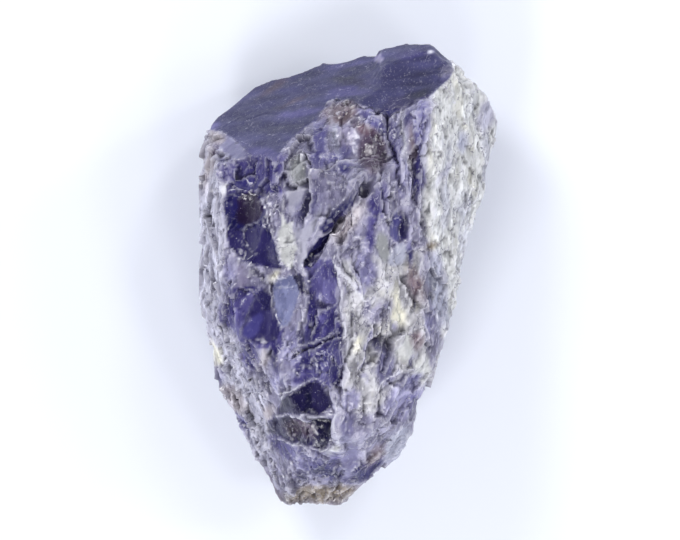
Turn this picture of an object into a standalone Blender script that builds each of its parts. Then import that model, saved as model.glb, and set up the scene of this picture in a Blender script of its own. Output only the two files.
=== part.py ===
"""A rough iolite crystal, lying on its back on a small flat spot.

The crystal is one solid: a prism that is thick at its flat dark end (+Y) and tapers to a blunt
foot (-Y). Its broad front face looks up (+Z). The surface of an evenly divided block is drawn in
to the crystal's flat faces, and then to the scoops, ledges and chips of its broken skin.

The tables are in millimetres and degrees, and the object itself is built in metres. A heading
is the compass angle in the XY plane, counted from +X towards +Y, and a rise is the angle above
that plane. The origin is under the middle of the crystal, on the surface that it rests on.
"""

import bmesh
import bpy
import numpy as np

MM = 0.001

# Driving sizes
LENGTH = 31.0
WIDTH = 20.0
THICKNESS = 14.0
GRID_STEP = 0.22
TRIANGLES = 9000

# The inner line that the surface is drawn towards: half its length, and its height
CORE_HALF = 8.5
CORE_HEIGHT = 7.0

# How far the broken faces of the blank stand out before they are chipped
ALLOWANCE = 0.25

# The heading that most chips run along, how much their sizes and depths vary, and the number
# that repeats the same chips
GRAIN = 92
CHIP_SIZES = (0.7, 1.2)
CHIP_DEPTHS = (0.55, 1.15)
SEED = 7

# Flat faces of the blank: a point on the face, the heading and rise of the way it looks, and
# the skin that it has
FACETS = {
    "flat_end": (-5.6, 7.8, 13.35, 112, 27.5, "smooth"),
    "violet_front": (-0.2, -1.7, 14.0, 181, 71, "blocky"),
    "pale_front": (-0.2, -1.7, 14.0, -3, 68, "splintery"),
    "taper_front": (0.0, -5.5, 14.0, 270, 75, "blocky"),
    "foot_front": (-1.5, -15.3, 5.2, 268, 33, "blocky"),
    "left_strip": (-9.95, 0.0, 7.0, 180, 20.5, "ribbed"),
    "left_top_edge": (-9.75, 8.2, 6.5, 171, 15, "ribbed"),
    "right_face": (9.95, 9.7, 5.5, -2, 37, "scaly"),
    "right_corner": (9.85, 10.8, 5.5, 14, 10, "scaly"),
    "upper_right": (8.2, 13.2, 7.0, 48, 12, "scaly"),
    "lower_left": (-8.7, -7.1, 6.3, 197, 27, "ribbed"),
    "foot_left": (-7.8, -9.1, 5.5, 211.5, 30, "ribbed"),
    "lower_right": (6.5, -5.1, 9.5, -31, 25, "splintery"),
    "foot_right": (4.4, -10.6, 7.4, -50, 25, "blocky"),
    "foot_corner": (1.85, -13.7, 5.5, -61, 20, "blocky"),
    "foot_tip": (-2.4, -15.5, 5.0, 271, 10, "broad"),
    "under_right": (10.4, 9.7, 5.5, -15.7, -6, "broad"),
    "under_right_edge": (10.0, 9.7, 5.5, -8, -38, "broad"),
    "under_lower_right": (5.15, -6.7, 6.0, -17, -8, "broad"),
    "under_foot_right": (3.7, -12.2, 6.3, -47, -30, "broad"),
    "under_foot": (-2.4, -15.3, 5.0, 271, -50, "broad"),
    "under_foot_left": (-7.8, -9.1, 5.5, 205, -30, "broad"),
    "under_left": (-9.95, 1.5, 7.0, 183, -22, "broad"),
    "under_left_top": (-9.65, 10.1, 4.9, 150, -30, "broad"),
    "under_end": (-1.7, 14.6, 2.5, 100, -35, "broad"),
    "under_end_right": (3.8, 15.1, 4.4, 84, -32, "broad"),
    "under_upper_right": (8.0, 13.0, 6.5, 50, -30, "broad"),
    "back_left": (-2.6, 1.0, 0.0, 194, -68, "broad"),
    "back_right": (2.2, 1.0, 0.0, 2, -60, "broad"),
    "back_foot": (0.0, -3.8, 0.0, 268, -70, "broad"),
    "back_end": (0.0, 5.0, 0.0, 82, -74, "broad"),
    "resting_spot": (0.0, 0.0, 0.0, 0, -90, "smooth"),
}

# Skins: how far apart the chips are, half their length and width, their depth, how far each
# chip may lean over, and how much its length may turn
SKINS = {
    "smooth": (99.0, 0.0, 0.0, 0.0, 0, 0),
    "blocky": (1.35, 1.9, 1.15, 0.4, 17, 35),
    "splintery": (1.3, 2.7, 0.85, 0.38, 15, 12),
    "ribbed": (1.3, 3.2, 0.75, 0.24, 7, 6),
    "scaly": (1.15, 1.4, 0.85, 0.25, 12, 20),
    "broad": (1.9, 2.8, 1.8, 0.45, 12, 30),
}

# Every cut below has a place seen from above (x, y), the heading and rise that it faces, half
# its length, half its width, its depth, and the heading of its length.

# Bites that are as old as the flat faces, each with the skin of its floor
BITES = {
    "bay": (0.0, 9.8, 98, 49, 5.6, 4.3, 2.3, 92, "blocky"),
    "corner_scoop": (-7.0, 7.7, 215, 55, 2.6, 2.0, 1.2, 125, "smooth"),
    "end_slope": (4.6, 11.2, 112, 27.5, 4.2, 3.6, 0.5, 22, "smooth"),
    "rim_bite_top": (7.9, 13.3, 48, 0, 0.9, 1.0, 0.4, 138, "scaly"),
    "rim_bite_right": (8.2, 2.6, -15, 10, 2.6, 2.6, 0.7, 80, "scaly"),
    "rim_bite_low": (5.6, -7.4, -22, 15, 1.6, 1.6, 0.4, 80, "splintery"),
    "rim_bite_left": (-9.5, -5.2, 190, 0, 1.6, 1.5, 0.35, 95, "ribbed"),
}
STEPS = {
    "end_step": (-4.2, 11.0, 112, 27.5, 6.7, 9.0, 0.6, 0, "smooth"),
}

# Scoops and ledges in the broken skin of the front
SCOOPS = {
    "left_window": (-7.0, 3.0, 168, 70, 2.3, 1.25, 0.4, 92),
    "violet_window": (-5.8, -2.6, 180, 76, 1.8, 1.05, 0.3, 100),
    "left_hollow": (-3.6, 6.6, 140, 66, 2.6, 1.2, 0.4, 80),
    "bay_low": (-0.4, 6.9, 112, 64, 1.6, 0.9, 0.3, 60),
    "brown_hollow": (2.1, 8.4, 75, 58, 2.2, 1.1, 0.3, 82),
    "grey_panel": (-2.9, 3.0, 150, 78, 2.6, 2.0, 0.3, 70),
    "slit": (-0.7, 3.6, 165, 80, 4.4, 0.34, 0.9, 53),
    "blue_facet": (-4.1, -1.3, 200, 76, 1.9, 0.8, 0.12, 102),
    "dark_zone": (-1.8, -1.7, 183, 70, 3.0, 1.3, 0.3, 95),
    "dark_zone_low": (-1.9, -6.1, 190, 66, 2.0, 1.5, 0.35, 60),
    "oval": (3.5, 3.1, -3, 68, 1.1, 0.5, 0.35, 95),
    "column_a": (3.2, 6.6, -3, 68, 3.2, 0.5, 0.4, 97),
    "column_b": (4.2, 7.0, -3, 66, 4.0, 0.5, 0.4, 92),
    "column_c": (5.3, 5.3, -3, 60, 4.4, 0.6, 0.35, 88),
    "diagonal": (0.9, 0.1, 20, 72, 2.4, 1.0, 0.3, 125),
    "pale_hollow": (3.8, -1.7, -3, 68, 2.6, 1.2, 0.3, 100),
    "blue_patch": (5.7, -1.6, -3, 60, 2.4, 0.7, 0.3, 95),
    "low_right": (3.8, -9.0, -30, 50, 2.3, 1.2, 0.4, 85),
    "low_middle": (1.2, -9.5, -80, 74, 2.4, 1.3, 0.35, 80),
    "foot_hollow_left": (-3.3, -12.5, 255, 50, 1.6, 0.9, 0.25, 20),
    "foot_hollow_right": (0.9, -12.4, -75, 50, 1.6, 0.9, 0.25, 150),
}
LEDGES = {
    "upper_pane": (-3.2, -8.2, 200, 72, 2.3, 0.95, 0.35, 5),
    "lower_pane": (-3.1, -10.3, 220, 68, 2.1, 1.1, 0.35, 178),
}


def facing(heading, rise):
    """The unit vector that looks along a heading and a rise."""
    h, r = np.radians(heading), np.radians(rise)
    return np.array([np.cos(r) * np.cos(h), np.cos(r) * np.sin(h), np.sin(r)])


def divided_block(step):
    """A block of the driving sizes around the origin, its faces divided evenly."""
    block = bmesh.new()
    bmesh.ops.create_cube(block, size=1.0)
    for axis, size in enumerate((WIDTH, LENGTH, THICKNESS)):
        along = [e for e in block.edges if abs((e.verts[1].co - e.verts[0].co)[axis]) > 1e-6]
        cuts = round(size / step) - 1
        bmesh.ops.subdivide_edges(block, edges=along, cuts=cuts, use_grid_fill=True)
    bmesh.ops.scale(block, vec=(WIDTH, LENGTH, THICKNESS), verts=block.verts)
    return block


class Skin:
    """The crystal's surface, as one ray from the inner line through each point of the block."""

    def __init__(self, block):
        self.block = block
        points = np.array([vertex.co for vertex in block.verts])
        self.starts = np.zeros_like(points)
        self.starts[:, 1] = points[:, 1] * (2 * CORE_HALF / LENGTH)
        self.ways = points - self.starts
        self.ways /= np.linalg.norm(self.ways, axis=1)[:, None]
        self.starts[:, 2] += CORE_HEIGHT
        self.reach = np.full(len(points), LENGTH)
        self.style = np.full(len(points), "smooth", dtype=object)

    def points(self):
        return self.starts + self.ways * self.reach[:, None]

    def normals(self):
        """The way the surface faces at each point, as it is so far."""
        for vertex, point in zip(self.block.verts, self.points()):
            vertex.co = point
        self.block.normal_update()
        return np.array([vertex.normal for vertex in self.block.verts])

    def slice_to_facets(self):
        """Draw every ray back to the first flat face that it meets."""
        for x, y, z, heading, rise, style in FACETS.values():
            normal = facing(heading, rise)
            out = 0 if style == "smooth" else ALLOWANCE
            speed = self.ways @ normal
            gap = normal @ np.array([x, y, z]) + out - self.starts @ normal
            meets = (speed > 1e-6) & (gap < self.reach * speed)
            self.reach[meets] = gap[meets] / speed[meets]
            self.style[meets] = style

    def carve(self, table, flat):
        """Make the cuts of a table, each where the surface is at that time."""
        for x, y, looks, rise, half_length, half_width, depth, heading, *style in table.values():
            points = self.points()
            apart = np.hypot(points[:, 0] - x, points[:, 1] - y)
            place = points[np.argmin(np.where(points[:, 2] > CORE_HEIGHT / 2, apart, LENGTH))]
            sizes = (half_length, half_width, depth)
            before = self.reach.copy()
            self.cut(place, facing(looks, rise), sizes, heading, flat)
            if style:
                self.style[self.reach < before] = style[0]

    def chip_all_over(self, random):
        """Scatter chips evenly over the broken skin."""
        points, normals = self.points(), self.normals()
        taken = np.empty((0, 3))
        for number in random.permutation(len(points)):
            row = SKINS[self.style[number]]
            spacing, half_length, half_width, depth, lean, turn = row
            place = points[number]
            if depth == 0 or np.any(np.linalg.norm(taken - place, axis=1) < spacing):
                continue
            taken = np.vstack((taken, place))
            size = random.uniform(*CHIP_SIZES)
            depth *= random.uniform(*CHIP_DEPTHS)
            tilt = np.tan(np.radians(random.uniform(0, lean)))
            up = normals[number] + facing(random.uniform(0, 360), 0) * tilt
            up /= np.linalg.norm(up)
            sizes = (half_length * size, half_width * size, depth)
            self.cut(place, up, sizes, random.normal(GRAIN, turn), flat=False)

    def cut(self, place, up, sizes, heading, flat):
        """Cut a dish, or a ledge with a flat floor and upright sides, at a place on the skin."""
        half_length, half_width, depth = sizes
        side = np.cross(up, facing(heading, 0))
        side /= np.linalg.norm(side)
        frame = np.array([np.cross(side, up), side, up])
        if flat:
            self.cut_ledge(place, frame, half_length, half_width, depth)
        else:
            radius = (half_width**2 + depth**2) / (2 * depth)
            centre = place + up * (radius - depth)
            self.cut_ball(centre, frame, (radius * half_length / half_width, radius, radius))

    def cut_ball(self, centre, frame, radii):
        """Draw the rays back to a stretched ball wherever they run into it."""
        start = (self.starts - centre) @ frame.T / radii
        way = self.ways @ frame.T / radii
        a = np.sum(way * way, axis=1)
        b = np.sum(way * start, axis=1)
        c = np.sum(start * start, axis=1) - 1
        inside = b * b - a * c
        root = np.sqrt(np.maximum(inside, 0))
        enters, leaves = (-b - root) / a, (-b + root) / a
        hit = (inside > 0) & (enters < self.reach) & (self.reach < leaves) & (enters > 0)
        self.reach[hit] = enters[hit]

    def cut_ledge(self, place, frame, half_length, half_width, depth):
        """Draw the rays back to the floor or the sides of a sunken box."""
        start = (self.starts - place) @ frame.T
        way = self.ways @ frame.T
        low = np.array([-half_length, -half_width, -depth])
        high = np.array([half_length, half_width, THICKNESS / 3])
        with np.errstate(divide="ignore", invalid="ignore"):
            one, two = (low - start) / way, (high - start) / way
        enters = np.nanmax(np.minimum(one, two), axis=1)
        leaves = np.nanmin(np.maximum(one, two), axis=1)
        hit = (enters < self.reach) & (self.reach < leaves) & (enters > 0)
        self.reach[hit] = enters[hit]


def fitted(points):
    """Centre the crystal on its origin, and give it exactly the driving length and width."""
    low, high = points.min(axis=0), points.max(axis=0)
    scale = np.array([WIDTH, LENGTH, high[2] - low[2]]) / (high - low)
    return (points - [(low[0] + high[0]) / 2, (low[1] + high[1]) / 2, low[2]]) * scale


def crystal_mesh():
    block = divided_block(GRID_STEP)
    skin = Skin(block)
    skin.slice_to_facets()
    skin.carve(BITES, flat=False)
    skin.carve(STEPS, flat=True)
    skin.chip_all_over(np.random.default_rng(SEED))
    skin.carve(SCOOPS, flat=False)
    skin.carve(LEDGES, flat=True)
    for vertex, point in zip(block.verts, fitted(skin.points()) * MM):
        vertex.co = point
    bmesh.ops.triangulate(block, faces=block.faces, quad_method="SHORT_EDGE")
    mesh = bpy.data.meshes.new("iolite_crystal")
    block.to_mesh(mesh)
    block.free()
    return mesh


def stone_material():
    """Violet-grey stone, dull with a slight gloss."""
    stone = bpy.data.materials.new("iolite")
    stone.use_nodes = True
    shader = stone.node_tree.nodes["Principled BSDF"]
    shader.inputs["Base Color"].default_value = (0.24, 0.21, 0.33, 1.0)
    shader.inputs["Roughness"].default_value = 0.45
    shader.inputs["Metallic"].default_value = 0.0
    return stone


def main():
    for old in list(bpy.data.objects):
        bpy.data.objects.remove(old)
    parts = bpy.data.collections.new("iolite_crystal")
    bpy.context.scene.collection.children.link(parts)

    crystal = bpy.data.objects.new("crystal", crystal_mesh())
    parts.objects.link(crystal)
    crystal.data.materials.append(stone_material())
    thin = crystal.modifiers.new("fewer_faces", "DECIMATE")
    thin.ratio = TRIANGLES / len(crystal.data.polygons)


main()
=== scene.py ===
"""The looks of a rough iolite crystal that lies on a pale surface, seen from straight above.

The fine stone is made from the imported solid: its surface is divided evenly, then broken into
shards, cracks and panes in code, and tinted patch by patch. The tables are in millimetres and
degrees, in the frame of the part, and a heading is counted from +X towards +Y.
"""

import bpy
import numpy as np
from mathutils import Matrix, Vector

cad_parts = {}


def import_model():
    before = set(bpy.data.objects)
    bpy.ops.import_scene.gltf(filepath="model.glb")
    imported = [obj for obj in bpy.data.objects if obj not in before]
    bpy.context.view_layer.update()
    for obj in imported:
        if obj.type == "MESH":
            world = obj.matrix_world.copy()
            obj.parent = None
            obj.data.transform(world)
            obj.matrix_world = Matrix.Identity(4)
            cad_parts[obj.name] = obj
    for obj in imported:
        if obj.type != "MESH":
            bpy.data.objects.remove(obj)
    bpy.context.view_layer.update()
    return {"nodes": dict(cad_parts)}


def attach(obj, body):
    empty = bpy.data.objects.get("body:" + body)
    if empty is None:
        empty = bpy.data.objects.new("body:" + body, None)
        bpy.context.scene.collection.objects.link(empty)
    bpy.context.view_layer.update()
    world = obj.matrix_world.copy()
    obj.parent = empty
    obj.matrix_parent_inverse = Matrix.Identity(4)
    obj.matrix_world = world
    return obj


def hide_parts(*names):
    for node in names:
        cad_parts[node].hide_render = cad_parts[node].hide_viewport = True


MM = 0.001

# The size of the fine surface's even faces
VOXEL = 0.146

# The photograph's frame: the millimetres that its width spans at the height of the stone's
# widest outline, and the middle of it, seen through a long lens
VIEW_SPAN = 45.33
VIEW_CENTRE = (-0.57, 0.33)
VIEW_LEVEL = 7.0
LENS, SENSOR = 250.0, 36.0

# Colours of the stone as they look on a screen, from 0 to 255
TINTS = {
    "ink": (24, 18, 66),
    "deep": (40, 34, 90),
    "violet": (66, 60, 118),
    "azure": (64, 60, 126),
    # The flat end's slate is partly its own dark colour and partly painted shade
    "slate": (38, 36, 86),
    "dusk": (34, 30, 92),
    # A pale blue-grey that paints in the bright reflection of one facet
    "facet": (118, 122, 162),
    "iris": (88, 84, 138),
    "haze": (112, 109, 148),
    "veil": (126, 123, 150),
    "lavender": (140, 137, 174),
    "lilac": (138, 132, 162),
    "grey": (166, 168, 188),
    "frost": (168, 160, 168),
    "silver": (163, 162, 169),
    "ivory": (199, 200, 201),
    "cream": (228, 225, 208),
    "moss": (140, 142, 146),
    "brown": (104, 88, 98),
    "stain": (66, 52, 74),
    "umber": (38, 22, 62),
    "russet": (88, 62, 78),
    "ochre": (126, 114, 100),
    "snow": (236, 236, 242),
    "mist": (174, 173, 192),
}

# Colours that the material adds to the tints
ADDED = {
    "pale_fleck": (232, 230, 236),
    "dark_fleck": (40, 34, 76),
    "edge": (224, 222, 232),
    # Painted shade that darkens the hollows
    "hollow_shade": (24, 20, 48),
    "dark_hair": (46, 40, 80),
    "pale_hair": (214, 212, 226),
    # Painted sparkle highlights, as white specks
    "sparkle_speck": (240, 240, 248),
    # Painted shade along the cracks, and painted highlight along the rims
    "dark_line": (30, 26, 58),
    "pale_line": (222, 222, 234),
}

# Areas with corners, seen from above: tint, how glassy, then the corners
AREAS = {
    "right_face": ("ivory", 0.0, (5.8, 13.8), (5.6, 12.0), (5.3, 8.6), (4.8, 5.1), (5.0, 2.5),
        (6.4, 0.2), (6.2, -4.5), (5.0, -8.0), (12, -2), (12, 16)),
    "right_middle": ("silver", 0.0, (-0.4, 0.9), (4.8, 1.7), (5.1, -3.7), (5.4, -7.0),
        (3.4, -8.3), (1.4, -9.0), (-0.2, -9.1)),
    "left_strip": ("mist", 0.1, (-10.6, 10.0), (-9.1, 9.4), (-8.5, 7.3), (-8.3, 5.0), (-8.1, 2.3),
        (-8.2, 0.3), (-8.4, -1.7), (-8.9, -3.7), (-10.6, -3.7)),
    "lower_band": ("mist", 0.1, (-10.6, -3.3), (-8.9, -2.9), (-7.6, -4.0), (-6.3, -6.0),
        (-5.3, -8.3), (-5.1, -11.0), (-4.2, -14.3), (-7.2, -15.0), (-11.2, -7.0)),
    "foot": ("veil", 0.2, (-5.2, -11.2), (-1.0, -11.3), (2.0, -10.8), (5.4, -10.0), (5.4, -16),
        (-5.0, -16)),
    # The flat end: its slate tint is partly its own dark colour and partly painted shade
    "end": ("slate", 0.6, (-9.6, 9.8), (-9.1, 9.6), (-8.4, 9.5), (-7.7, 9.1), (-7.0, 8.5),
        (-6.4, 7.9), (-5.8, 7.4), (-4.9, 7.4), (-4.4, 8.2), (-3.8, 9.0), (-2.9, 9.8),
        (-2.1, 10.3), (-1.7, 10.9), (-1.2, 11.7), (-0.2, 11.7), (0.9, 11.2), (2.0, 10.8),
        (2.6, 10.3), (3.1, 10.8), (3.9, 11.2), (4.4, 11.5), (5.6, 12.0), (6.6, 12.9), (7.0, 13.5),
        (6.6, 14.5), (6.2, 17), (-12, 17), (-12, 10)),
    "corner": ("violet", 0.3, (-8.4, 7.7), (-5.8, 7.1), (-4.3, 7.3), (-4.3, 5.5), (-5.8, 5.3),
        (-8.0, 5.3), (-8.6, 6.7)),
    "upper_left_dark": ("dusk", 0.7, (-8.0, 5.3), (-5.8, 5.3), (-5.5, 4.0), (-4.9, 2.3),
        (-4.4, 0.9), (-5.4, 0.5), (-6.9, 0.9), (-7.9, 2.0), (-8.2, 4.0)),
    "low_left_dark": ("violet", 0.6, (-8.0, -0.7), (-5.8, -0.7), (-4.2, -3.7), (-4.2, -4.7),
        (-5.2, -5.0), (-6.9, -4.7), (-8.2, -3.0)),
    "low_middle_dark": ("violet", 0.4, (-3.8, -4.2), (-0.5, -3.6), (-0.5, -7.4), (-1.6, -7.3),
        (-3.6, -6.6)),
    "left_window": ("deep", 0.9, (-8.2, 3.5), (-7.0, 2.9), (-6.0, 3.3), (-5.4, 2.9), (-5.0, 1.9),
        (-4.6, 0.9), (-4.5, 0.3), (-5.8, 0.6), (-6.8, 0.9), (-7.6, 1.5), (-8.0, 2.3)),
    "low_window": ("deep", 0.9, (-5.8, -1.0), (-5.2, -0.9), (-5.0, -1.7), (-4.8, -2.9),
        (-4.4, -3.7), (-4.7, -4.2), (-5.4, -4.6), (-6.2, -4.5), (-6.8, -4.2), (-7.1, -3.4),
        (-6.7, -2.6), (-6.3, -1.7)),
    "dark_zone": ("violet", 0.5, (-3.0, 0.9), (-2.2, 1.1), (-0.9, 0.9), (-0.8, -0.3),
        (-1.0, -1.3), (-0.7, -2.3), (-0.5, -3.7), (-0.5, -6.9), (-1.6, -7.3), (-2.4, -6.5),
        (-3.2, -5.1), (-3.0, -4.0), (-2.7, -3.0), (-2.8, -2.0), (-2.6, -1.0), (-2.9, 0.0)),
    "grey_panel": ("mist", 0.85, (-4.1, 5.5), (-2.6, 5.7), (-1.8, 4.7), (-2.0, 3.5), (-2.6, 2.3),
        (-2.7, 1.1), (-3.3, 0.5), (-3.4, 1.8), (-3.5, 3.0), (-3.8, 4.2)),
    "spike": ("ivory", 0.4, (-4.5, 4.5), (-4.1, 3.3), (-3.6, 3.5), (-3.5, 2.6), (-3.4, 1.7),
        (-3.6, 0.8), (-3.9, 0.5), (-4.3, 0.9), (-4.6, 1.7), (-4.6, 2.3), (-4.4, 3.1)),
    # A facet with painted reflection, and beside it its painted shade
    "blue_facet": ("facet", 0.7, (-5.1, -0.3), (-4.4, -0.2), (-3.8, 0.1), (-3.4, -0.5),
        (-3.2, -1.2), (-3.4, -2.0), (-3.7, -2.7), (-4.0, -3.3), (-4.4, -3.5), (-4.8, -2.5),
        (-5.0, -1.5)),
    "facet_shade": ("ink", 0.8, (-3.7, 0.0), (-3.2, 0.2), (-2.9, -0.7), (-3.0, -1.5),
        (-3.3, -1.0)),
    "slit_top": ("dusk", 0.8, (0.6, 5.5), (0.2, 4.6), (-0.4, 3.9), (-1.0, 3.2), (-1.8, 2.8),
        (-1.9, 3.1), (-1.2, 3.9), (-0.4, 4.7)),
    "slit_low": ("dusk", 0.8, (-0.7, 3.3), (-1.4, 2.1), (-2.0, 1.4), (-2.5, 1.0), (-2.9, 0.6),
        (-3.1, 0.9), (-2.4, 1.7), (-2.0, 2.5), (-1.4, 2.8)),
    "upper_pane": ("ink", 0.8, (-4.6, -8.3), (-3.9, -7.9), (-3.0, -7.5), (-2.1, -7.0),
        (-1.6, -7.4), (-1.2, -7.9), (-1.0, -8.5), (-1.4, -8.9), (-2.1, -9.1), (-3.7, -9.1),
        (-4.6, -9.1)),
    "lower_pane": ("ink", 0.7, (-5.4, -9.5), (-4.1, -9.3), (-2.1, -9.3), (-1.0, -9.4),
        (-1.1, -10.5), (-1.4, -11.2), (-2.1, -11.4), (-3.4, -11.0), (-4.6, -10.9), (-5.2, -10.5)),
}

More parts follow.
